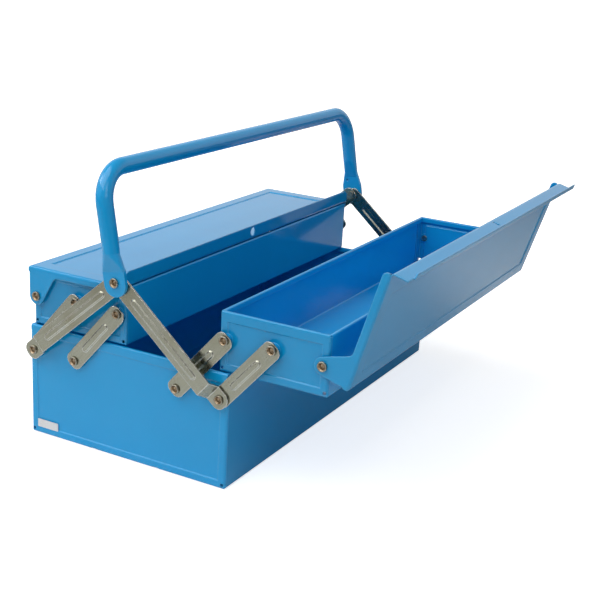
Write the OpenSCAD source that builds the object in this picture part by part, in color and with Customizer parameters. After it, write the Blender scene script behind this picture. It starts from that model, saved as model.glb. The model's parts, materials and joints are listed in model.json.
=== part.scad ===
// Cantilever tool box: a sheet-steel base, two half-width trays on link arms and a lid on each tray.
// Frame: +Z up, X along the box, -Y towards the tray that stands swung out.
// The origin is the centre of the base's underside. The rear tray is drawn closed under its lid.
// The front tray is drawn swung out with its lid open.

/* [Box] */
// Length over the base's end panels
box_l = 400; // [320:5:500]
// Width over the base's side walls
box_w = 200; // [190:1:220]
// Height of the base
base_h = 100; // [98:0.5:108]
// Thickness of the painted sheet
sheet = 1.0; // [0.8:0.1:1.1]
// Outer bend radius of the corners
corner_r = 2.2; // [2:0.1:2.5]
// Width of the folded hem on the base's rim
base_hem_w = 4; // [3.5:0.1:4.5]
// Width of the folded hem on a tray's rim
tray_hem_w = 3; // [2.6:0.1:3.4]
// Depth of every hem
hem_h = 5; // [4:0.5:6]
// Depth of the flanges that join an end panel to its trough
flange_d = 9; // [7:1:12]
// Side of the square holes at an end's lower corners
square_hole = 2.6; // [2:0.1:3]
// Edge of an end to its square hole
square_in = 1.6; // [1.4:0.1:2.4]
// Middle of the base's end to its drain notch
notch_y = 32; // [26:1:40]
// Width of a drain notch
notch_w = 6; // [4:0.5:8]
// Height of a drain notch
notch_h = 1.4; // [1:0.1:1.8]

/* [Pressed panels] */
// Depth of the pressed panels
press_d = 0.8; // [0.4:0.1:0.8]
// Width of the sloped edge of a pressed panel
press_slope = 0.9; // [0.8:0.1:2]
// Plain border around the pressed panel of an end
end_border = 6.5; // [6:0.5:8]
// Plain border above the pressed panel of an end
end_border_top = 8; // [7:0.5:10]
// Plain border at the ends of a lid's pressed panel
lid_border_x = 15; // [10:1:20]
// Plain border at the outer edge of a lid's pressed panel
lid_border_out = 12; // [8:1:14]
// Plain border at the middle edge of a lid's pressed panel
lid_border_mid = 21; // [16:1:26]

/* [Trays] */
// Height of a tray
tray_h = 50; // [48:0.5:51]
// Gap between the two closed trays
tray_gap = 1.4; // [1:0.1:2]
// Step from the base's side to a tray's outer wall
tray_side_in = 2.8; // [2.4:0.1:3]
// Step from the base's end to a tray's end
tray_end_in = 2.5; // [2.2:0.1:2.8]
// Air between a tray's underside and the base's rim
seat_gap = 0.3; // [0.2:0.05:0.4]

/* [Links] */
// Pivot distance of a link
link_len = 67.3; // [66:0.1:68]
// Slope of a link with its tray closed
link_rise = 49; // [48:0.5:50]
// Width of links and arms
strap_w = 16; // [14:0.5:16.5]
// Thickness of links and arms
strap_t = 1.5; // [1.2:0.1:1.6]
// Height of the outer links' base pivots
outer_pivot_z = 78.5; // [77:0.5:79]
// Height of the inner links' base pivots
inner_pivot_z = 77; // [76:0.5:78]
// Base pivots of the outer links, from the base's side
outer_pivot_in = 6.1; // [6:0.1:6.6]
// Middle plane to a closed tray's inner pivot
mid_pivot = 7.35; // [6.8:0.05:8]
// Length of a link past its pivots
link_tail = 5; // [4.5:0.1:5.2]
// Corner radius of a link's ends
link_round = 6; // [5.8:0.1:6.8]
// Air between the base's end and a link
link_air = 0.4; // [0.35:0.05:0.5]
// Width of the pressed rib
rib_w = 6; // [5:0.1:6.6]
// Height of the pressed rib
rib_h = 0.9; // [0.5:0.1:1]
// Width of the rib's sloped sides
rib_slope = 1.1; // [0.8:0.1:1.6]
// Step of the hollow behind a rib inside the rib's ends
rib_step = 1; // [0.5:0.1:2]
// Plain length between a link's pivot and its rib
link_rib_in = 15; // [13:0.5:18]

/* [Arms] */
// Length of an arm past its lower pivot
arm_tail = 7.4; // [6.6:0.1:8]
// Length of an arm past its upper pivot
arm_top_tail = 4.5; // [4:0.1:6]
// Corner radius of an arm's ends
arm_round = 6.6; // [5:0.1:6.6]
// Height of the handle's pivot
apex_z = 159; // [157.5:0.5:160]
// Plain length between an arm's lower pivot and its rib
arm_rib_low = 24; // [22:0.5:28]
// Plain length between an arm's upper pivot and its rib
arm_rib_top = 19; // [17:0.5:24]
// Outward offset of a rear arm from its foot
arm_step = 5.9; // [5:0.1:6.2]
// Plain length between an arm's lower pivot and its offset
arm_offset_at = 8.2; // [7.6:0.1:9]
// Sloped length of an arm's offset
arm_offset_run = 6; // [5:0.1:7]

/* [Rivets] */
// Shank diameter
shank_d = 5; // [4.8:0.1:5.2]
// Head diameter
head_d = 7.8; // [7.4:0.1:8.2]
// Head height
head_h = 1.6; // [1.2:0.1:1.7]
// Diameter of the hollow at the head's rim
hollow_d = 5.3; // [4.8:0.1:5.4]
// Diameter of the hollow in the shank
core_d = 3.6; // [3:0.1:3.6]
// Diameter of the formed tail
tail_d = 6.4; // [6:0.1:6.6]
// Height of the formed tail
tail_h = 1; // [0.8:0.1:1.4]
// Radius of the boss under a tray's link pivots
link_boss_r = 4.6; // [4.2:0.1:4.9]
// Radius of the boss under the other pivots
plain_boss_r = 4.2; // [4:0.1:4.6]
// Radial clearance of a pivot
run_fit = 0.08; // [0.04:0.01:0.1]
// Radial clearance where an inner link's upper pivot floats
float_fit = 0.3; // [0.2:0.05:0.4]
// Air between faces that slide past each other
face_gap = 0.3; // [0.25:0.05:0.35]

/* [Lids] */
// Overhang of a lid past the base's side
lid_over = 1; // [0.5:0.1:1.5]
// Step from the base's end back to a lid's end flange
lid_end_in = 0; // [0:0.05:0.2]
// Height of the lip along a lid's outer edge
lid_lip = 5; // [4:0.5:6]
// Height of a lid's end flange
band_h = 6.6; // [6:0.2:7.5]
// Corner radius at the middle end of the flange
band_round = 4; // [2:0.5:5]
// Radius of the flange's ear around the hinge rivet
ear_r = 7.4; // [7:0.1:7.6]
// Hinge rivet, from the base's side
hinge_in = 7.4; // [7.2:0.1:7.8]
// Hinge rivet, above the tray's underside
hinge_up = 25.7; // [24:0.5:27]
// Slope of the end flange's cut-out
cut_slope = 60.6; // [56:0.2:64]
// Fillet of the end flange's cut-out
cut_r = 6; // [4:0.5:7]
// Height of the rear lid's upstand
rear_upstand = 12.4; // [11:0.2:12.8]
// Height of the front lid's upstand
front_upstand = 14; // [13.6:0.2:15]
// Gap between the upstands and the box's middle plane
upstand_gap = 0.6; // [0.4:0.1:0.8]
// Inner bend radius at the foot of an upstand
upstand_bend = 2; // [1.5:0.1:2.5]
// Step from a lid's end back to its upstand's end
upstand_end_in = 0.5; // [0.3:0.1:1]
// Corner radius of the rear upstand
rear_round = 6; // [3:0.5:8]
// Corner radius of the front upstand
front_round = 1; // [0.5:0.1:2]
// Reach of the front upstand's top lip over the rear upstand
cover_lip = 3.2; // [3:0.1:3.6]
// Step from the lid's left end in to the lip's end
lip_left_in = 10; // [6:1:14]
// Reach of the lip past the lid's right end
lip_right_out = 7.2; // [2:0.1:7.2]
// Padlock hole in the rear upstand
lock_hole_d = 8; // [6:0.5:8]
// Width of the hasp slot in the front upstand
slot_w = 2.6; // [2:0.1:4]
// Length of the hasp slot
slot_l = 7; // [5:0.5:8]
// Height of the lock hole and slot above the lid
lock_up = 6.6; // [6:0.1:7]
// Opening angle of the front lid
lid_open_angle = 106; // [95:1:120]

/* [Handle] */
// Tube diameter
tube_d = 14; // [12.5:0.1:14.5]
// Foot rivet to the middle of the bar
handle_reach = 89; // [80:1:100]
// Bend radius of the tube's middle line
tube_bend = 27; // [22:1:34]
// Width of the flattened foot
foot_w = 21.2; // [19:0.2:22]
// Thickness of the flattened foot
foot_t = 3; // [2.6:0.1:3.2]
// Length of the foot below its rivet
foot_tail = 12; // [10:0.5:13]
// Length of the flattened foot above its rivet
foot_top = 9; // [7:0.5:11]
// Height above the rivet at which the leg's outer side is round
foot_round_z = 24; // [20:1:28]
// Height above the rivet up to which the leg's inner side is flat
foot_flat_z = 18; // [17:0.5:20]
// Height above the rivet at which the leg is a full tube
foot_full_z = 36; // [32:1:42]
// Diameter of the vent hole in a leg's inner face
vent_d = 3; // [2:0.5:3.5]
// Vent hole from the leg's middle line
vent_y = 4.4; // [2:0.1:5]
// Vent hole above the foot rivet
vent_z = 15; // [12:0.5:16]
// Lean of the handle towards the closed side
handle_lean = 10; // [0:1:15]

/* [Hidden] */
$fn = 48;
eps = 0.01;
past = 1;
blue = "#2f86c8";
zinc = "#9a9684";

// Rest places of the tray and lid, drawn for the closed rear side
end_x = box_l / 2;
side_y = box_w / 2;
tray_z = base_h + seat_gap;
tray_x = end_x - tray_end_in;
tray_in_y = tray_gap / 2;
tray_out_y = side_y - tray_side_in;
lid_x = end_x - lid_end_in;
lid_y = side_y + lid_over;
lid_under = tray_z + tray_h + face_gap;
lid_top = lid_under + sheet;
plate_y = upstand_gap + sheet + upstand_bend;
hinge_y = side_y - hinge_in;
hinge_z = tray_z + hinge_up;
base_back = end_x - sheet - press_d;
tray_back = tray_x - sheet - press_d;

// Linkage
link_dy = link_len * cos(link_rise);
link_dz = link_len * sin(link_rise);
swing = 2 * link_dy;
outer_y = side_y - outer_pivot_in;
inner_y = mid_pivot + link_dy;
upper_outer = [outer_y - link_dy, outer_pivot_z + link_dz];
upper_inner = [inner_y - link_dy, inner_pivot_z + link_dz];
arm_dz = apex_z - outer_pivot_z;
arm_len = norm([outer_y, arm_dz]);
arm_rise = atan2(arm_dz, outer_y);

// Layers outward from the box's middle, along X
link_x = end_x + link_air;
link_head_x = link_x + strap_t + face_gap;
rear_arm_x = link_head_x + arm_step;
front_arm_x = rear_arm_x + strap_t;
foot_x = front_arm_x + strap_t + face_gap;
foot_head_x = foot_x + foot_t + face_gap;
tube_x = foot_x + foot_t / 2;

// ---- plain shapes ----

// A bar with rounded ends along +x of its own plane, from x = a to x = b
module strap_outline(a, b, r) {
  side = strap_w / 2 - r;
  for (x = [a + r, b - r], y = [-side, side]) translate([x, y]) circle(r = r);
  translate([a, -side]) square([b - a, 2 * side]);
  translate([a + r, -strap_w / 2]) square([b - a - 2 * r, strap_w]);
}

// A square of w by h from the origin with its two lower corners rounded
module trough_outline(w, h, r) {
  translate([0, r]) square([w, h - r]);
  translate([r, 0]) square([w - 2 * r, h]);
  for (x = [r, w - r]) translate([x, r]) circle(r = r);
}

// A quarter ring about the origin in the lower left quadrant
module quarter_ring(r, t) {
  intersection() {
    difference() {
      circle(r = r + t);
      circle(r = r);
    }
    translate([-r - t, -r - t]) square(r + t);
  }
}

// A vertical wall of the given height with its top folded inwards, along +x of its own plane
module hem_outline(h, hem_w) {
  square([sheet, h - hem_w / 2]);
  translate([0, h - hem_h]) square([hem_w, hem_h - hem_w / 2]);
  translate([hem_w / 2, h - hem_w / 2]) circle(d = hem_w);
}

// Turns a (y, z) outline into a solid from x0 to x1
module along_x(x0, x1) {
  translate([x0, 0, 0]) rotate([90, 0, 90]) linear_extrude(x1 - x0) children();
}

// Turns an (x, z) outline into a solid from y0 to y1
module along_y(y0, y1) {
  translate([0, y1, 0]) rotate([90, 0, 0]) linear_extrude(y1 - y0) children();
}

// Places what is drawn for the closed rear side on the swung-out front side
module swung_out() {
  translate([0, -swing, 0]) mirror([0, 1, 0]) children();
}

// Turns what is drawn for the closed rear lid about its hinge
module opened(angle) {
  translate([0, hinge_y, hinge_z]) rotate([-angle, 0, 0]) translate([0, -hinge_y, -hinge_z]) children();
}

// A pressed panel's sloped block on the plane z = 0, going down
module press_block(x0, x1, y0, y1, depth) {
  top = eps;
  s = press_slope;
  intersection() {
    along_y(y0, y1)
      polygon([[x0, top], [x1, top], [x1, 0], [x1 - s, -depth], [x0 + s, -depth], [x0, 0]]);
    along_x(x0, x1)
      polygon([[y0, top], [y1, top], [y1, 0], [y1 - s, -depth], [y0 + s, -depth], [y0, 0]]);
  }
}

// ---- base and trays ----

// The outside of a box of half length hx, from y0 to y1 and from z = 0 up
module box_outside(hx, y0, y1, h) {
  r = corner_r;
  w = y1 - y0;
  l = 2 * hx;
  intersection() {
    translate([0, y0, 0]) along_x(-hx, hx) trough_outline(w, h, r);
    translate([-hx, 0, 0]) along_y(y0, y1) trough_outline(l, h, r);
    translate([-hx, y0, 0]) linear_extrude(h) {
      translate([r, 0]) square([l - 2 * r, w]);
      translate([0, r]) square([l, w - 2 * r]);
      for (x = [r, l - r], y = [r, w - r]) translate([x, y]) circle(r = r);
    }
  }
}

// The trough: both side walls and the bottom in one sheet, with hemmed rims
module trough(hx, y0, y1, h, hem_w) {
  stop_x = hx - corner_r;
  w = y1 - y0;
  along_x(-stop_x, stop_x) {
    difference() {
      translate([y0, 0]) trough_outline(w, h - hem_w, corner_r);
      translate([y0 + sheet, sheet]) trough_outline(w - 2 * sheet, h, corner_r - sheet);
    }
  }
  along_x(-stop_x, stop_x) {
    translate([y0, corner_r]) hem_outline(h - corner_r, hem_w);
    translate([y1, corner_r]) mirror([1, 0]) hem_outline(h - corner_r, hem_w);
  }
}

// The end panel at +X: a pan with a hemmed top, flanges that lap the trough and a pressed panel
module end_panel(hx, y0, y1, h, hem_w) {
  stop_x = hx - corner_r;
  panel = [y0 + end_border, y1 - end_border, end_border, h - end_border_top];
  difference() {
    union() {
      intersection() {
        box_outside(hx, y0, y1, h);
        translate([stop_x, y0, 0]) cube([corner_r, y1 - y0, h - hem_w / 2]);
      }
      along_y(y0 + sheet, y1 - sheet)
        translate([hx, h - hem_h]) mirror([1, 0]) hem_outline(hem_h, hem_w);
    }
    for (y = [y0, y1 - hem_w])
      translate([stop_x - hem_w, y, h - hem_h]) cube([hem_w, hem_w, hem_h + past]);
    difference() {
      translate([stop_x - past, y0 + 2 * sheet, 2 * sheet])
        cube([corner_r + past - sheet, y1 - y0 - 4 * sheet, h - 2 * sheet - hem_h]);
      end_press(hx - sheet, panel);
    }
    end_press(hx, panel);
    for (y = [y0 + square_in, y1 - square_in - square_hole])
      translate([stop_x - past, y, corner_r]) cube([corner_r + 2 * past, square_hole, square_hole]);
  }
  end_flanges(stop_x - flange_d, stop_x, y0 + sheet, y1 - sheet, h - hem_h - face_gap);
}

// The flanges of an end panel from x0 to x1, inside the trough's walls and on its bottom
module end_flanges(x0, x1, y0, y1, top) {
  notch = corner_r;
  difference() {
    translate([x0, y0, sheet]) cube([x1 - x0, y1 - y0, top - sheet]);
    translate([x0 - past, y0 + sheet, 2 * sheet])
      cube([x1 - x0 + 2 * past, y1 - y0 - 2 * sheet, top]);
    for (y = [y0 - eps, y1 - notch])
      translate([x0 - past, y, 0]) cube([x1 - x0 + 2 * past, notch + eps, sheet + notch]);
  }
}

// The block of a pressed panel on the end plane x = at
module end_press(at, p) {
  translate([at, 0, 0]) rotate([0, 90, 0]) press_block(-p[3], -p[2], p[0], p[1], press_d);
}

// A boss with its rivet hole, along X from x0 to x1
module boss(x0, x1, y, z, r) {
  translate([x0, y, z]) rotate([0, 90, 0]) cylinder(h = x1 - x0, r = r);
}

// A hole along X
module cross_hole(x0, x1, y, z, d) {
  translate([x0, y, z]) rotate([0, 90, 0]) cylinder(h = x1 - x0, d = d);
}

// The base's end at +X
module base_end() {
  outer = [[outer_y, outer_pivot_z], [-outer_y, outer_pivot_z]];
  inner = [[inner_y, inner_pivot_z], [-inner_y, inner_pivot_z]];
  pivots = concat(outer, inner);
  difference() {
    union() {
      end_panel(end_x, -side_y, side_y, base_h, base_hem_w);
      for (p = pivots) boss(base_back, end_x, p[0], p[1], plain_boss_r);
    }
    for (p = pivots) cross_hole(base_back - past, end_x + past, p[0], p[1], shank_d);
    for (y = [-notch_y, notch_y])
      translate([end_x - sheet - past, y - notch_w / 2, -eps]) cube([sheet + 2 * past, notch_w, notch_h]);
  }
}

// The rear tray's end at +X, with its outer flange cut back around the lid rivet's tail
module tray_end() {
  relief = tail_d / 2 + face_gap;
  difference() {
    union() {
      translate([0, 0, tray_z]) end_panel(tray_x, tray_in_y, tray_out_y, tray_h, tray_hem_w);
      for (p = [upper_outer, upper_inner]) boss(tray_back, link_x - face_gap, p[0], p[1], link_boss_r);
      boss(tray_back, lid_x - sheet - face_gap, hinge_y, hinge_z, plain_boss_r);
    }
    for (p = [upper_outer, upper_inner, [hinge_y, hinge_z]])
      cross_hole(tray_back - past, link_x + past, p[0], p[1], shank_d);
    translate([tray_back - flange_d - corner_r, tray_out_y - 2 * sheet - eps, hinge_z - relief])
      cube([flange_d + corner_r, sheet + eps, 2 * relief]);
  }
}

module tray_body() {
  translate([0, 0, tray_z]) trough(tray_x, tray_in_y, tray_out_y, tray_h, tray_hem_w);
}

// ---- lids ----

// The end flange: a band under the plate, cut away to an ear around the hinge rivet
module flange_outline() {
  low = lid_top - band_h;
  near = upstand_gap + sheet;
  n = [sin(cut_slope), cos(cut_slope)];
  side = [hinge_y - ear_r * n[0], hinge_z - ear_r * n[1]];
  top_y = side[0] - (low - side[1]) / tan(cut_slope);
  fillet_z = low - cut_r;
  fillet_y = side[0] - (cut_r - (side[1] - fillet_z) * n[1]) / n[0];
  touch = [fillet_y + cut_r * n[0], fillet_z + cut_r * n[1]];
  translate([hinge_y, hinge_z]) circle(r = ear_r);
  polygon([side, [top_y, low], [top_y, lid_top], [side_y, lid_top], [side_y, hinge_z], [hinge_y, hinge_z]]);
  translate([near + band_round, low]) square([top_y - near - band_round, band_h]);
  translate([near, low + band_round]) square([band_round + eps, band_h - band_round]);
  translate([near + band_round, low + band_round]) circle(r = band_round);
  difference() {
    polygon([[fillet_y, low + eps], [top_y, low + eps], touch, [fillet_y, fillet_z]]);
    translate([fillet_y, fillet_z]) circle(r = cut_r);
  }
}

// The plate with its outer lip and both end flanges
module lid_shell() {
  intersection() {
    difference() {
      lid_block(lid_x, lid_y, lid_top, corner_r);
      lid_block(lid_x - sheet, lid_y - sheet, lid_top - sheet, corner_r - sheet);
    }
    union() {
      along_x(-lid_x, lid_x) flange_outline();
      translate([-lid_x, plate_y, lid_top - lid_lip]) cube([2 * lid_x, lid_y - plate_y, lid_lip]);
    }
  }
}

// A block below the plane top with rounded upper edges at its ends and outer side
module lid_block(hx, y1, top, r) {
  low = hinge_z - 2 * ear_r;
  intersection() {
    along_x(-hx, hx) {
      translate([-past, low]) square([y1 + past - r, top - low]);
      translate([-past, low]) square([y1 + past, top - low - r]);
      translate([y1 - r, top - r]) circle(r = r);
    }
    along_y(-past, y1) {
      translate([-hx, low]) square([2 * hx, top - low - r]);
      translate([r - hx, low]) square([2 * hx - 2 * r, top - low]);
      for (x = [r - hx, hx - r]) translate([x, top - r]) circle(r = r);
    }
  }
}

// The bend between the plate and the upstand, and the upstand itself
module upstand(height, round_r) {
  hx = lid_x - upstand_end_in;
  flat_h = height - upstand_bend;
  along_x(-hx, hx)
    translate([plate_y, lid_top + upstand_bend]) quarter_ring(upstand_bend, sheet);
  along_y(upstand_gap, upstand_gap + sheet) translate([-hx, lid_top + upstand_bend]) {
    square([2 * hx, flat_h - round_r]);
    translate([round_r, 0]) square([2 * hx - 2 * round_r, flat_h]);
    for (x = [round_r, 2 * hx - round_r]) translate([x, flat_h - round_r]) circle(r = round_r);
  }
}

// The pressed panel's block in a lid's plate, with its top at z
module lid_press(z) {
  hx = lid_x - lid_border_x;
  translate([0, 0, z]) press_block(-hx, hx, lid_border_mid, lid_y - lid_border_out, press_d);
}

// A lid for the closed rear side, with the pressed panel in its plate
module lid(height, round_r) {
  difference() {
    union() {
      difference() {
        lid_shell();
        translate([-lid_x - past, -past, lid_top - sheet - eps])
          cube([2 * lid_x + 2 * past, past + plate_y, sheet + past]);
      }
      upstand(height, round_r);
      lid_press(lid_top - sheet);
    }
    lid_press(lid_top);
    for (s = [-1, 1])
      cross_hole(s * lid_x - 2 * sheet, s * lid_x + 2 * sheet, hinge_y, hinge_z, shank_d + 2 * run_fit);
  }
}

module rear_lid_shape() {
  difference() {
    lid(rear_upstand, rear_round);
    translate([0, upstand_gap + sheet + past, lid_top + lock_up])
      rotate([90, 0, 0]) cylinder(h = sheet + 2 * past, d = lock_hole_d);
  }
}

// The front lid's upstand carries a lip that covers the rear one
module front_lid_shape() {
  lip_z = lid_top + front_upstand;
  left = lip_left_in - lid_x;
  right = lid_x + lip_right_out;
  wall = upstand_gap + sheet;
  reach = upstand_gap - cover_lip;
  difference() {
    union() {
      lid(front_upstand - sheet, front_round);
      intersection() {
        along_x(left, right)
          translate([reach, lip_z - sheet]) square([wall - reach, sheet]);
        linear_extrude(2 * lip_z)
          polygon([[left, wall], [right, wall], [right, reach],
            [left + cover_lip, reach], [left, upstand_gap]]);
      }
    }
    translate([-slot_w / 2, upstand_gap - past, lid_top + lock_up - slot_l / 2])
      cube([slot_w, sheet + 2 * past, slot_l]);
  }
}

// ---- links and arms ----

// The raised rib on a strap's face z = 0, from x = a to x = b, with its foot sunk into the strap
module rib(a, b) {
  foot = rib_w / 2;
  top = foot - rib_slope;
  sunk = strap_t / 5;
  translate([a + foot, 0, 0]) rotate([90, 0, 90]) linear_extrude(b - a - 2 * foot)
    polygon([[-foot, -sunk], [foot, -sunk], [foot, 0], [top, rib_h], [-top, rib_h], [-foot, 0]]);
  for (x = [a + foot, b - foot]) translate([x, 0, 0]) {
    cylinder(h = rib_h, r1 = foot, r2 = top);
    translate([0, 0, -sunk]) cylinder(h = sunk, r = foot);
  }
}

// A link along +x, its inner face on z = 0, with its lower hole at x = 0
module link_shape(upper_fit) {
  difference() {
    union() {
      linear_extrude(strap_t) strap_outline(-link_tail, link_len + link_tail, link_round);
      translate([0, 0, strap_t]) rib(link_rib_in, link_len - link_rib_in);
    }
    rib(link_rib_in + rib_step, link_len - link_rib_in - rib_step);
    translate([0, 0, -past]) cylinder(h = strap_t + 2 * past, d = shank_d + 2 * run_fit);
    translate([link_len, 0, -past]) cylinder(h = strap_t + 2 * past, d = shank_d + 2 * upper_fit);
  }
}

// An arm along +x from its lower pivot: its foot lies at z = 0 and its length is offset outwards
module arm_shape(offset_z) {
  x0 = -arm_tail - past;
  x1 = arm_offset_at;
  x2 = arm_offset_at + arm_offset_run;
  x3 = arm_len + arm_top_tail + past;
  bend = strap_t * tan(atan2(offset_z, arm_offset_run) / 2);
  top = offset_z + strap_t;
  difference() {
    union() {
      intersection() {
        translate([0, strap_w / 2, 0]) rotate([90, 0, 0]) linear_extrude(strap_w)
          polygon([[x0, 0], [x1, 0], [x2, offset_z], [x3, offset_z],
            [x3, top], [x2 - bend, top], [x1 - bend, strap_t], [x0, strap_t]]);
        linear_extrude(top) strap_outline(-arm_tail, arm_len + arm_top_tail, arm_round);
      }
      translate([0, 0, top]) rib(arm_rib_low, arm_len - arm_rib_top);
    }
    translate([0, 0, offset_z]) rib(arm_rib_low + rib_step, arm_len - arm_rib_top - rib_step);
    for (x = [0, arm_len]) translate([x, 0, -past]) cylinder(h = top + 2 * past, d = shank_d);
  }
}

// Stands a flat strap on the end at +X: its length in the YZ plane at an angle, its outer face outwards
module on_end(x, y, z, angle) {
  translate([x, y, z]) rotate([0, 90, 0]) rotate([0, 0, 90]) rotate([0, 0, angle]) children();
}

// side = 1 is the right end, side = -1 the left end, which is the right end mirrored
module at_side(side) {
  if (side > 0) children();
  else mirror([1, 0, 0]) children();
}

module rear_link(side, y, z, fit) {
  at_side(side) on_end(link_x, y, z, 180 - link_rise) link_shape(fit);
}

module front_link(side, y, z, fit) {
  at_side(side) on_end(link_x, -y, z, 180 - link_rise) link_shape(fit);
}

module rear_arm(side) {
  at_side(side) on_end(link_head_x, outer_y, outer_pivot_z, 180 - arm_rise)
    arm_shape(rear_arm_x - link_head_x);
}

module front_arm(side) {
  at_side(side) on_end(link_head_x, -outer_y, outer_pivot_z, arm_rise)
    arm_shape(front_arm_x - link_head_x);
}

// ---- handle ----

// A flat plate on the leg's foot plane at height z, of half width w and thickness h
module foot_plate(w, z, h) {
  translate([foot_x, -w, z]) cube([foot_t, 2 * w, h]);
}

// The tube with its inner side cut off flush with the foot
module flush_tube(h, facets) {
  intersection() {
    translate([tube_x, 0, 0]) cylinder(h = h, d = tube_d, $fn = facets);
    translate([foot_x, -tube_d, 0]) cube([tube_d, 2 * tube_d, h]);
  }
}

// One leg of the handle at +X, its foot rivet at y = 0, z = 0
module handle_leg() {
  top = handle_reach - tube_bend;
  foot_r = foot_w / 2;
  foot_z = foot_r - foot_tail;
  difference() {
    union() {
      boss(foot_x, foot_x + foot_t, 0, foot_z, foot_r);
      foot_plate(foot_r, foot_z, foot_top - foot_z);
      hull() {
        foot_plate(foot_r, foot_top - eps, eps);
        translate([0, 0, foot_round_z]) flush_tube(eps, 32);
      }
      translate([0, 0, foot_round_z]) flush_tube(foot_full_z - foot_round_z, $fn);
      hull() {
        foot_plate(tube_d / 2, foot_flat_z, eps);
        translate([tube_x, 0, foot_full_z]) cylinder(h = eps, d = tube_d, $fn = 32);
      }
      translate([tube_x, 0, foot_full_z]) cylinder(h = top - foot_full_z, d = tube_d);
      translate([tube_x - tube_bend, 0, top]) rotate([90, 0, 0])
        rotate_extrude(angle = 90) translate([tube_bend, 0]) circle(d = tube_d);
    }
    cross_hole(foot_x - past, foot_head_x, 0, 0, shank_d + 2 * run_fit);
    cross_hole(foot_x - past, tube_x, vent_y, vent_z, vent_d);
  }
}

module handle_shape() {
  for (s = [1, -1]) at_side(s) handle_leg();
  translate([tube_bend - tube_x, 0, handle_reach]) rotate([0, 90, 0])
    cylinder(h = 2 * (tube_x - tube_bend), d = tube_d);
}

// ---- rivets ----

// A semi-tubular rivet along +X: its tail ends at x0, its head starts at x1
module rivet(x0, x1, y, z) {
  head_r = head_d / 2;
  tail_r = tail_d / 2;
  hole_r = hollow_d / 2;
  core_r = core_d / 2;
  top = x1 + head_h;
  tail = x0 - tail_h;
  translate([0, y, z]) rotate([0, 90, 0]) rotate_extrude()
    polygon([[0, tail], [tail_r - tail_h / 4, tail], [tail_r, x0 - tail_h / 2], [tail_r, x0],
      [shank_d / 2, x0], [shank_d / 2, x1], [head_r, x1], [head_r, x1 + 0.4 * head_h],
      [head_r - 0.12 * head_h, top - 0.25 * head_h], [head_r - 0.34 * head_h, top - 0.05 * head_h],
      [hole_r + 0.2 * head_h, top], [hole_r, top - 0.12 * head_h],
      [core_r, top - 1.1 * head_h], [0, top - 1.75 * head_h]]);
}

module both_ends() {
  for (s = [1, -1]) at_side(s) children();
}

module tray_link_rivets() {
  both_ends() for (p = [upper_outer, upper_inner]) rivet(tray_back, link_head_x, p[0], p[1]);
}

module lid_rivets() {
  both_ends() rivet(tray_back, lid_x + face_gap, hinge_y, hinge_z);
}

// ---- sub-parts ----

module base_body() {
  color(blue) trough(end_x, -side_y, side_y, base_h, base_hem_w);
}
module base_end_left() {
  color(blue) at_side(-1) base_end();
}
module base_end_right() {
  color(blue) at_side(1) base_end();
}
module rear_tray_body() {
  color(blue) tray_body();
}
module rear_tray_end_left() {
  color(blue) at_side(-1) tray_end();
}
module rear_tray_end_right() {
  color(blue) at_side(1) tray_end();
}
module front_tray_body() {
  color(blue) swung_out() tray_body();
}
module front_tray_end_left() {
  color(blue) swung_out() at_side(-1) tray_end();
}
module front_tray_end_right() {
  color(blue) swung_out() at_side(1) tray_end();
}
module rear_lid() {
  color(blue) rear_lid_shape();
}
module front_lid() {
  color(blue) swung_out() opened(lid_open_angle) front_lid_shape();
}
module rear_outer_link_left() {
  color(zinc) rear_link(-1, outer_y, outer_pivot_z, run_fit);
}
module rear_outer_link_right() {
  color(zinc) rear_link(1, outer_y, outer_pivot_z, run_fit);
}
module rear_inner_link_left() {
  color(zinc) rear_link(-1, inner_y, inner_pivot_z, float_fit);
}
module rear_inner_link_right() {
  color(zinc) rear_link(1, inner_y, inner_pivot_z, float_fit);
}
module front_outer_link_left() {
  color(zinc) front_link(-1, outer_y, outer_pivot_z, run_fit);
}
module front_outer_link_right() {
  color(zinc) front_link(1, outer_y, outer_pivot_z, run_fit);
}
module front_inner_link_left() {
  color(zinc) front_link(-1, inner_y, inner_pivot_z, float_fit);
}
module front_inner_link_right() {
  color(zinc) front_link(1, inner_y, inner_pivot_z, float_fit);
}
module rear_arm_left() {
  color(zinc) rear_arm(-1);
}
module rear_arm_right() {
  color(zinc) rear_arm(1);
}
module front_arm_left() {
  color(zinc) front_arm(-1);
}
module front_arm_right() {
  color(zinc) front_arm(1);
}
module handle() {
  color(blue) translate([0, 0, apex_z]) rotate([-handle_lean, 0, 0]) handle_shape();
}
module arm_rivets() {
  color(zinc) both_ends() for (y = [-outer_y, outer_y])
    rivet(base_back, link_head_x + strap_t, y, outer_pivot_z);
}
module base_link_rivets() {
  color(zinc) both_ends() for (y = [-inner_y, inner_y])
    rivet(base_back, link_head_x, y, inner_pivot_z);
}
module rear_tray_rivets() {
  color(zinc) tray_link_rivets();
}
module front_tray_rivets() {
  color(zinc) swung_out() tray_link_rivets();
}
module rear_lid_rivets() {
  color(zinc) lid_rivets();
}
module front_lid_rivets() {
  color(zinc) swung_out() lid_rivets();
}
module handle_rivets() {
  color(zinc) both_ends() rivet(rear_arm_x, foot_head_x, 0, apex_z);
}

base_body();
base_end_left();
base_end_right();
rear_tray_body();
rear_tray_end_left();
rear_tray_end_right();
front_tray_body();
front_tray_end_left();
front_tray_end_right();
rear_lid();
front_lid();
rear_outer_link_left();
rear_outer_link_right();
rear_inner_link_left();
rear_inner_link_right();
front_outer_link_left();
front_outer_link_right();
front_inner_link_left();
front_inner_link_right();
rear_arm_left();
rear_arm_right();
front_arm_left();
front_arm_right();
handle();
arm_rivets();
base_link_rivets();
rear_tray_rivets();
front_tray_rivets();
rear_lid_rivets();
front_lid_rivets();
handle_rivets();
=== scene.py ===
import bpy, bmesh, json, math
from mathutils import Matrix, Vector


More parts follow.
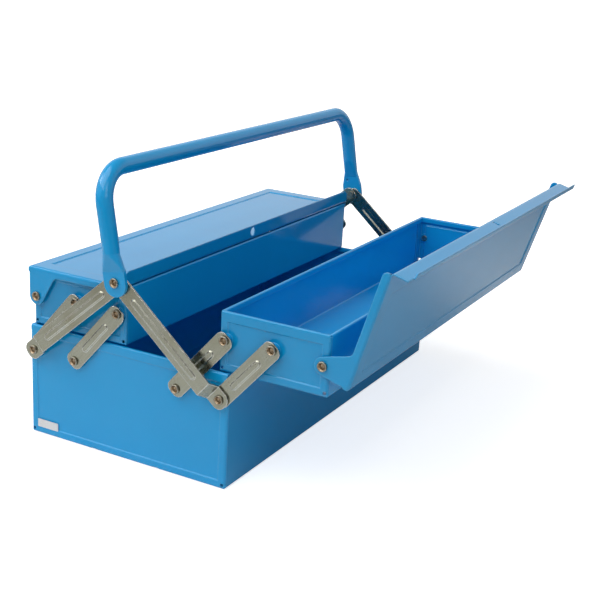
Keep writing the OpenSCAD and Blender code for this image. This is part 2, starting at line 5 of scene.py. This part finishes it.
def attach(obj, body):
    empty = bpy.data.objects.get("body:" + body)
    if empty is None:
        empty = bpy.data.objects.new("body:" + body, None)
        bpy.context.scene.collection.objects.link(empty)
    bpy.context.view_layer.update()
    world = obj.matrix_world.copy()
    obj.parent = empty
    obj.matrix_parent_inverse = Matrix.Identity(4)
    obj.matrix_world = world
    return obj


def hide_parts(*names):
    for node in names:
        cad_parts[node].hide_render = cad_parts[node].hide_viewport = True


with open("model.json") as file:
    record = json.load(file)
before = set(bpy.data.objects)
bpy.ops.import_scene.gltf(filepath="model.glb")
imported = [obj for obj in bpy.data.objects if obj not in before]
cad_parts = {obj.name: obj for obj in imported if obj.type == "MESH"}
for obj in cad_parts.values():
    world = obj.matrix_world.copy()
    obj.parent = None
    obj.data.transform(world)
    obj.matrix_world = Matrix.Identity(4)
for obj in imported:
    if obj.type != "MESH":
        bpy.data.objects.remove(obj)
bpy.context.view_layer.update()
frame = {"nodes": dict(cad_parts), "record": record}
scene = bpy.context.scene
nodes = frame["nodes"]
MM = 0.001

# ---------------------------------------------------------------- values
# enamel colours: the paint at its darkest and lightest, in cloudy patches, where it is thin along bends,
# which also paints a highlight there, and dust
PAINT_LOW, PAINT_HIGH = (0.004, 0.285, 0.605), (0.006, 0.312, 0.645)
PAINT_CLOUD, PAINT_THIN_AND_HIGHLIGHT, PAINT_DUST = (0.02, 0.33, 0.68), (0.08, 0.46, 0.82), (0.32, 0.52, 0.78)
PAINT_IOR = 1.48
# how light each part's green and blue are, by the words in its nodes' names: painted light and shade, which
# makes lit and shaded copies of one paint
PAINTED_LIGHT_TONES = {
    "base_body": 1.0,
    "base_end": 1.18,
    "tray_body": 1.22,
    "tray_end": 1.02,
    "rear_lid": 1.1,
    "front_lid": 1.02,
    "handle": 1.12,
}
# the radius of the rounded shading, and of the thin paint and painted highlight, along bends, in metres
BEND, LID_BEND = 0.0009, 0.0018

# zinc colours: the streaks, the mottle, the yellow stain and the painted highlight on edges and bends
ZINC_LOW, ZINC_HIGH = (0.285, 0.288, 0.228), (0.335, 0.34, 0.278)
ZINC_MOTTLE, ZINC_STAIN, ZINC_PAINTED_HIGHLIGHT = (0.40, 0.405, 0.35), (0.25, 0.235, 0.155), (0.90, 0.89, 0.86)
# size of the rolling marks' noise per metre: fine across a strip and long along it
ROLLING = (900.0, 40.0, 900.0)
# how far each strip leans from the Y axis at rest, in degrees
LINK_LEAN, REAR_ARM_LEAN, FRONT_ARM_LEAN = -49, -40.6, 40.6

RIVET_LOW, RIVET_HIGH, RIVET_PAINTED_HIGHLIGHT = (0.27, 0.24, 0.18), (0.37, 0.35, 0.29), (0.70, 0.68, 0.62)
CORE_LOW, CORE_HIGH = (0.27, 0.19, 0.115), (0.46, 0.37, 0.26)
PAPER_LOW, PAPER_HIGH, PAPER_GREY = (0.74, 0.75, 0.75), (0.83, 0.83, 0.82), (0.66, 0.68, 0.70)

# a rivet's turned outline in mm: (distance from its inner end, radius) for the tail and shank, then
# (depth below its outer end, radius) for the head and, as unplated metal, for the hollow in it
RIVET_TAIL = ((0, 0.3), (0, 2.95), (0.5, 3.2), (1.0, 3.2), (1.0, 2.5))
RIVET_HEAD = ((1.6, 2.5), (1.6, 4.05), (0.75, 4.1), (0.3, 3.98), (0.06, 3.7), (0, 3.35), (0.1, 3.1))
RIVET_HOLLOW = ((0.75, 2.6), (1.7, 1.9), (2.3, 1.7), (2.7, 0.4))
TURN_STEPS = 40

# the sticker: the panel's face, its own thickness and gap, its edges and corner radius, in metres
STICKER_X, STICKER_THICK, STICKER_GAP = -0.2, 0.00018, 0.00002
STICKER_Y, STICKER_Z, STICKER_CORNER = (0.0708, 0.0930), (0.0062, 0.0136), 0.0006
CORNER_STEPS = 4

# the floor's lift for the camera and its tone in mirrors, a painted pool of light near the object in its
# reflections, each (near, far) the object, and the distances in metres between which it changes
FLOOR_SEEN, SEEN_REACH = (0.72, 1.0), (0.5, 1.8)
MIRRORED_LIGHT_POOL, MIRRORED_REACH = (1.0, 0.45), (0.45, 0.9)
FLOOR_GREY = (0.80, 0.82)
FLOOR_HALF, FLOOR_DROP = 30, 0.0003

# the world's strength: as light, as a mirror sees the room and the white cloths, and for the camera
SKY_LIGHT, SKY_ROOM, SKY_WALL, SKY_CAMERA = 0.2, 0.35, 0.95, 1.0
# the cloths that mirrors see: a backdrop behind the object that ends at a height, and a panel
BACKDROP_WAY, BACKDROP_SPREAD, BACKDROP_TOP = (0.885, 0.465, 0.0), (-0.3, 0.5), (0.7, 0.45)
PANEL_WAY, PANEL_SPREAD = (-0.6, 0.5, 0.62), (0.85, 0.93)

# soft lamps, all aimed at one point: name, place, side in metres, watts
LAMP_AIM = (0, 0, 0.1)
LAMPS = (
    ("key", (-1.0, 0.3, 2.2), 2.4, 42),
    ("front", (-1.2, -1.8, 1.5), 1.2, 7),
    ("rear", (-0.8, 1.8, 1.6), 0.8, 14),
)

# the camera, solved from the photograph's corners: its place, its axes and its lens
CAMERA_AT = (-0.91939, -0.53708, 0.43488)
CAMERA_RIGHT = (0.47995, -0.87562, 0.05422)
CAMERA_UP = (0.24416, 0.19269, 0.95040)
CAMERA_LOOK = (0.8426, 0.4429, -0.3063)
CAMERA_LENS, CAMERA_SENSOR = 69.47, 36.0


# ---------------------------------------------------------------- node helpers
class Tree:
    """The node tree of a material or a world, with short calls for the nodes used here."""

    def __init__(self, owner):
        self.owner = owner
        owner.use_nodes = True
        self.t = owner.node_tree
        self.t.nodes.clear()
        self.coord = None

    def link(self, a, b):
        self.t.links.new(a, b)

    def feed(self, node, socket, value):
        """Link an input to another node's output, or set it to a number or colour."""
        if isinstance(value, bpy.types.NodeSocket):
            self.link(value, node.inputs[socket])
        elif node.inputs[socket].type == "RGBA":
            node.inputs[socket].default_value = (*value, 1)
        else:
            node.inputs[socket].default_value = value

    def add(self, kind, **values):
        """A new node. Each value goes to its property, or to the input of that name."""
        n = self.t.nodes.new("ShaderNode" + kind)
        for key, value in values.items():
            if hasattr(n, key):
                setattr(n, key, value)
            else:
                self.feed(n, key.replace("_", " "), value)
        return n

    def place(self):
        """The point's place on the object, in metres."""
        if self.coord is None:
            self.coord = self.add("TexCoord").outputs["Object"]
        return self.coord

    def noise(self, scale, detail=2.0, rough=0.5, vector=None):
        vector = self.place() if vector is None else vector
        n = self.add("TexNoise", Scale=scale, Detail=detail, Roughness=rough, Vector=vector)
        return n.outputs["Fac"]

    def ramp(self, fac, low, high):
        """Blend between two (place on fac, colour) pairs."""
        n = self.add("ValToRGB", Fac=fac)
        for e, (at, colour) in zip(n.color_ramp.elements, (low, high)):
            e.position = at
            e.color = (*colour, 1)
        return n.outputs["Color"]

    def span(self, value, lo, hi, a, b):
        """Value mapped from lo..hi to a..b, and held at both ends."""
        n = self.add("MapRange", Value=value, From_Min=lo, From_Max=hi, To_Min=a, To_Max=b)
        return n.outputs["Result"]

    def math(self, op, a, b):
        n = self.add("Math", operation=op)
        self.feed(n, 0, a)
        self.feed(n, 1, b)
        return n.outputs["Value"]

    def vector(self, op, a, b=None):
        """A number from one or two vectors, such as a length or a dot product."""
        n = self.add("VectorMath", operation=op)
        self.feed(n, 0, a)
        if b is not None:
            self.feed(n, 1, b)
        return n.outputs["Value"]

    def mix(self, fac, a, b):
        """Colour a where fac is 0 and colour b where it is 1."""
        n = self.add("Mix", data_type="RGBA")
        for socket, value in ((0, fac), (6, a), (7, b)):
            self.feed(n, socket, value)
        return n.outputs[2]

    def bump(self, height, strength, distance, normal=None):
        n = self.add("Bump", Strength=strength, Distance=distance, Height=height)
        if normal is not None:
            self.feed(n, "Normal", normal)
        return n.outputs["Normal"]

    def edge(self, radius, full=0.88):
        """1 on edges and bends, 0 on flat sheet, from how far a bevelled normal turns from the true one.

        The bevelled normal comes second.
        """
        soft = self.add("Bevel", samples=6, Radius=radius).outputs["Normal"]
        true = self.add("NewGeometry").outputs["Normal"]
        return self.span(self.vector("DOT_PRODUCT", soft, true), 0.999, full, 0.0, 1.0), soft

    def finish(self, shader, output="OutputMaterial"):
        self.feed(self.add(output), "Surface", shader.outputs[0])
        return self.owner


def material(name):
    return Tree(bpy.data.materials.new(name))


# ---------------------------------------------------------------- materials
def enamel(name, tone, bend):
    """Blue stoved enamel on sheet steel: glossy, with orange peel, thin paint and a painted highlight on
    bends, and faint dust.
    """
    t = material(name)
    edge, soft = t.edge(bend)
    # the part's tone lightens or darkens the paint: painted light and shade
    low, high = ((r, g * tone, b * tone) for r, g, b in (PAINT_LOW, PAINT_HIGH))
    base = t.ramp(t.noise(7.0, 3.0, 0.55), (0.3, low), (0.7, high))
    cloud = t.span(t.noise(38.0, 4.0, 0.6), 0.4, 0.75, 0.0, 0.06)
    base = t.mix(cloud, base, PAINT_CLOUD)
    # bends and edges lightened: thinner paint there, and a painted highlight along them
    base = t.mix(t.math("MULTIPLY", edge, 0.75), base, PAINT_THIN_AND_HIGHLIGHT)
    dust = t.span(t.noise(950.0, 2.0, 0.7), 0.75, 0.80, 0.0, 0.14)
    base = t.mix(dust, base, PAINT_DUST)
    rough = t.span(t.noise(24.0, 3.0, 0.6), 0.3, 0.75, 0.09, 0.15)
    wave = t.bump(t.noise(26.0), 0.16, 0.0012, soft)
    peel = t.bump(t.noise(620.0), 0.10, 0.00022, wave)
    return t.finish(t.add("BsdfPrincipled", Base_Color=base, Roughness=rough, IOR=PAINT_IOR, Normal=peel))


def zinc(name, lean):
    """Zinc-plated strip, with rolling marks along a strip that leans this far in the YZ plane."""
    t = material(name)
    edge, soft = t.edge(0.0007, 0.95)
    along = t.add("Mapping", Rotation=(-math.radians(lean), 0, 0), Vector=t.place()).outputs["Vector"]
    stretched = t.add("Mapping", Scale=ROLLING, Vector=along).outputs["Vector"]
    streak = t.noise(1.0, 3.0, 0.6, stretched)
    mottle = t.noise(170.0, 3.0, 0.6)
    stain = t.noise(34.0)
    base = t.ramp(streak, (0.3, ZINC_LOW), (0.7, ZINC_HIGH))
    base = t.mix(t.span(mottle, 0.4, 0.7, 0.0, 0.25), base, ZINC_MOTTLE)
    base = t.mix(t.span(stain, 0.45, 0.7, 0.0, 0.55), base, ZINC_STAIN)
    # edges and rib bends lightened: a painted highlight
    base = t.mix(t.math("MULTIPLY", edge, 0.9), base, ZINC_PAINTED_HIGHLIGHT)
    rough = t.span(mottle, 0.3, 0.75, 0.2, 0.33)
    normal = t.bump(mottle, 0.08, 0.0001, t.bump(streak, 0.15, 0.00002, soft))
    return t.finish(t.add("BsdfPrincipled", Base_Color=base, Metallic=1.0, Roughness=rough, Normal=normal))


def rivet_metal(name):
    """Plated rivet heads with tool marks and a duller, browner tone in places."""
    t = material(name)
    edge, soft = t.edge(0.0004)
    grain = t.noise(420.0, 3.0, 0.6)
    base = t.ramp(t.noise(90.0, 3.0, 0.6), (0.35, RIVET_LOW), (0.65, RIVET_HIGH))
    # the heads' edges lightened: a painted highlight
    base = t.mix(t.math("MULTIPLY", edge, 0.25), base, RIVET_PAINTED_HIGHLIGHT)
    rough = t.span(grain, 0.3, 0.7, 0.22, 0.38)
    normal = t.bump(grain, 0.3, 0.00006, soft)
    return t.finish(t.add("BsdfPrincipled", Base_Color=base, Metallic=1.0, Roughness=rough, Normal=normal))


def rivet_core(name):
    """The hollow of a rivet: brown, unplated and a little rusty."""
    t = material(name)
    grain = t.noise(700.0, 4.0, 0.65)
    base = t.ramp(grain, (0.35, CORE_LOW), (0.7, CORE_HIGH))
    rough = t.span(grain, 0.3, 0.7, 0.22, 0.38)
    normal = t.bump(grain, 0.3, 0.00006)
    return t.finish(t.add("BsdfPrincipled", Base_Color=base, Metallic=1.0, Roughness=rough, Normal=normal))


def paper(name):
    """A blank white sticker: satin paper with faint fibre and slightly grey patches."""
    t = material(name)
    fibre = t.noise(900.0, 4.0, 0.7)
    cloud = t.noise(120.0, 3.0, 0.6)
    base = t.ramp(fibre, (0.3, PAPER_LOW), (0.7, PAPER_HIGH))
    base = t.mix(t.span(cloud, 0.45, 0.75, 0.0, 0.35), base, PAPER_GREY)
    rough = t.span(cloud, 0.3, 0.7, 0.38, 0.5)
    normal = t.bump(fibre, 0.2, 0.00004)
    return t.finish(t.add("BsdfPrincipled", Base_Color=base, Roughness=rough, Normal=normal))


def floor_mat(name):
    """Pale floor. The camera sees it lifted to white, and mirrors see a painted pool of light near the
    object, darker far off.
    """
    t = material(name)
    rays = t.add("LightPath").outputs
    reach = t.vector("LENGTH", t.place())
    low, high = FLOOR_GREY
    grain = t.ramp(t.noise(3.0), (0.3, (low,) * 3), (0.7, (high,) * 3))
    # what mirrors see of the floor: a painted pool of light near the object
    mirrored = t.span(reach, *MIRRORED_REACH, *MIRRORED_LIGHT_POOL)
    matt = t.add("BsdfDiffuse", Color=t.mix(rays["Is Glossy Ray"], grain, mirrored))
    seen = t.math("MAXIMUM", rays["Is Camera Ray"], rays["Is Transmission Ray"])
    glow = t.add("Emission", Strength=t.math("MULTIPLY", seen, t.span(reach, *SEEN_REACH, *FLOOR_SEEN)))
    both = t.add("AddShader")
    t.feed(both, 0, matt.outputs[0])
    t.feed(both, 1, glow.outputs[0])
    return t.finish(both)


# ---------------------------------------------------------------- dress the frame's nodes
blue = {}
# one enamel copy per part, lighter or darker by its tone: painted light and shade
for part, tone in PAINTED_LIGHT_TONES.items():
    blue[part] = enamel("enamel_" + part, tone, LID_BEND if "lid" in part else BEND)
link_zinc = zinc("zinc_strip_a", LINK_LEAN)
rear_arm_zinc = zinc("zinc_strip_c", REAR_ARM_LEAN)
front_arm_zinc = zinc("zinc_strip_d", FRONT_ARM_LEAN)
rivets = rivet_metal("rivet_plated")
core = rivet_core("rivet_hollow")
label = paper("sticker_paper")


def finish_for(node):
    if node.endswith("rivets"):
        return rivets
    if "link" in node:
        return link_zinc
    if "arm" in node:
        return rear_arm_zinc if node.startswith("rear") else front_arm_zinc
    return next(mat for part, mat in blue.items() if part in node)


for node, o in nodes.items():
    o.data.materials.clear()
    o.data.materials.append(finish_for(node))


# ---------------------------------------------------------------- pieces
def mesh_object(name, bm, mat, body):
    """A piece from a bmesh, smooth except at edges over 30 degrees, that rides on a body."""
    bmesh.ops.recalc_face_normals(bm, faces=bm.faces)
    me = bpy.data.meshes.new(name)
    bm.normal_update()
    bm.to_mesh(me)
    bm.free()
    o = bpy.data.objects.new(name, me)
    scene.collection.objects.link(o)
    me.materials.append(mat)
    for p in me.polygons:
        p.use_smooth = True
    me.set_sharp_from_angle(angle=math.radians(30))
    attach(o, body)
    return o


def lathe_x(bm, centre, side, profile, inner_from):
    """A closed turned form about the X axis through centre: (x, r) pairs with x away from the box.

    Faces from the pair number inner_from onwards take the second material.
    """
    rings = []
    for x, r in profile:
        ring = []
        for i in range(TURN_STEPS):
            a = 2 * math.pi * i / TURN_STEPS
            ring.append(bm.verts.new((side * x, centre[0] + r * math.cos(a), centre[1] + r * math.sin(a))))
        rings.append(ring)
    bm.faces.new(rings[0])
    bm.faces.new(rings[-1]).material_index = 1
    for k, (a, b) in enumerate(zip(rings, rings[1:])):
        for i in range(TURN_STEPS):
            j = (i + 1) % TURN_STEPS
            bm.faces.new((a[i], a[j], b[j], b[i])).material_index = int(k >= inner_from)


def pivot_centres(node):
    """The places of a rivet group's solids, from the node's own mesh: (side, y, z, inner x, outer x)."""
    bm = bmesh.new()
    bm.from_mesh(nodes[node].data)
    bmesh.ops.remove_doubles(bm, verts=bm.verts, dist=1e-6)
    left = set(bm.verts)
    found = []
    while left:
        todo = [left.pop()]
        part = list(todo)
        while todo:
            for e in todo.pop().link_edges:
                for v in e.verts:
                    if v in left:
                        left.remove(v)
                        todo.append(v)
                        part.append(v)
        xs, ys, zs = zip(*(v.co for v in part))
        reach = [abs(x) for x in xs]
        side = 1 if sum(xs) > 0 else -1
        found.append((side, (min(ys) + max(ys)) / 2, (min(zs) + max(zs)) / 2, min(reach), max(reach)))
    bm.free()
    return sorted(found)


body_of_node = {n: b for b, ns in frame["record"]["behaviour"]["bodies"].items() for n in ns}
for n in sorted(nodes):
    if not n.endswith("rivets"):
        continue
    bm = bmesh.new()
    for side, y, z, inner, outer in pivot_centres(n):
        form = [(inner + x * MM, r * MM) for x, r in RIVET_TAIL]
        form += [(outer - x * MM, r * MM) for x, r in RIVET_HEAD + RIVET_HOLLOW]
        lathe_x(bm, (y, z), side, form, len(RIVET_TAIL) + len(RIVET_HEAD) - 1)
    heads = mesh_object("set_" + n, bm, rivets, body_of_node[n])
    heads.data.materials.append(core)
    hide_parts(n)

# the blank sticker on the base's left end
bm = bmesh.new()
(y0, y1), (z0, z1), r = STICKER_Y, STICKER_Z, STICKER_CORNER
outline = []
for cy, cz, a0 in ((y1 - r, z1 - r, 0), (y0 + r, z1 - r, 90), (y0 + r, z0 + r, 180), (y1 - r, z0 + r, 270)):
    for k in range(CORNER_STEPS + 1):
        a = math.radians(a0 + 90 * k / CORNER_STEPS)
        outline.append((cy + r * math.cos(a), cz + r * math.sin(a)))
top = [bm.verts.new((STICKER_X - STICKER_THICK, y, z)) for y, z in outline]
low = [bm.verts.new((STICKER_X - STICKER_GAP, y, z)) for y, z in outline]
bm.faces.new(top)
bm.faces.new(low)
for i in range(len(outline)):
    j = (i + 1) % len(outline)
    bm.faces.new((top[i], low[i], low[j], top[j]))
mesh_object("sticker_blank", bm, label, "base")

# ---------------------------------------------------------------- stage, light and camera
bm = bmesh.new()
bmesh.ops.create_grid(bm, x_segments=8, y_segments=8, size=FLOOR_HALF)
me = bpy.data.meshes.new("floor")
bm.to_mesh(me)
bm.free()
me.materials.append(floor_mat("floor_pale"))
floor = bpy.data.objects.new("floor", me)
floor.location = (0, 0, -FLOOR_DROP)
scene.collection.objects.link(floor)

# mirrors see a white backdrop behind the object, a white panel above left of it, which gives bends
# their bright line, and a dimmer room elsewhere
world = bpy.data.worlds.new("studio")
scene.world = world
t = Tree(world)
rays = t.add("LightPath").outputs
way = t.add("TexCoord").outputs["Generated"]
rise = t.add("SeparateXYZ", Vector=way).outputs["Z"]
low = t.span(rise, *BACKDROP_TOP, 0.0, 1.0)
facing = t.span(t.vector("DOT_PRODUCT", way, BACKDROP_WAY), *BACKDROP_SPREAD, 0.0, 1.0)
panel = t.span(t.vector("DOT_PRODUCT", way, PANEL_WAY), *PANEL_SPREAD, 0.0, 1.0)
white = t.math("MAXIMUM", t.math("MULTIPLY", facing, low), panel)
mirror = t.span(white, 0.0, 1.0, SKY_ROOM, SKY_WALL)
unseen = t.span(rays["Is Glossy Ray"], 0.0, 1.0, SKY_LIGHT, mirror)
level = t.span(rays["Is Camera Ray"], 0.0, 1.0, unseen, SKY_CAMERA)
t.finish(t.add("Background", Color=(1, 1, 1), Strength=level), "OutputWorld")

for name, place, side, watts in LAMPS:
    lamp = bpy.data.lights.new(name, "AREA")
    lamp.shape = "SQUARE"
    lamp.size = side
    lamp.energy = watts
    o = bpy.data.objects.new(name, lamp)
    o.location = place
    o.rotation_euler = (Vector(LAMP_AIM) - Vector(place)).to_track_quat("-Z", "Y").to_euler()
    scene.collection.objects.link(o)

cam_data = bpy.data.cameras.new("camera")
cam_data.sensor_width = CAMERA_SENSOR
cam_data.lens = CAMERA_LENS
cam_data.clip_start = 0.05
cam_data.clip_end = 100
cam = bpy.data.objects.new("camera", cam_data)
axes = Matrix((CAMERA_RIGHT, CAMERA_UP, -Vector(CAMERA_LOOK))).transposed().to_4x4()
cam.matrix_world = Matrix.Translation(CAMERA_AT) @ axes
scene.collection.objects.link(cam)
scene.camera = cam

scene.view_settings.view_transform = "Standard"
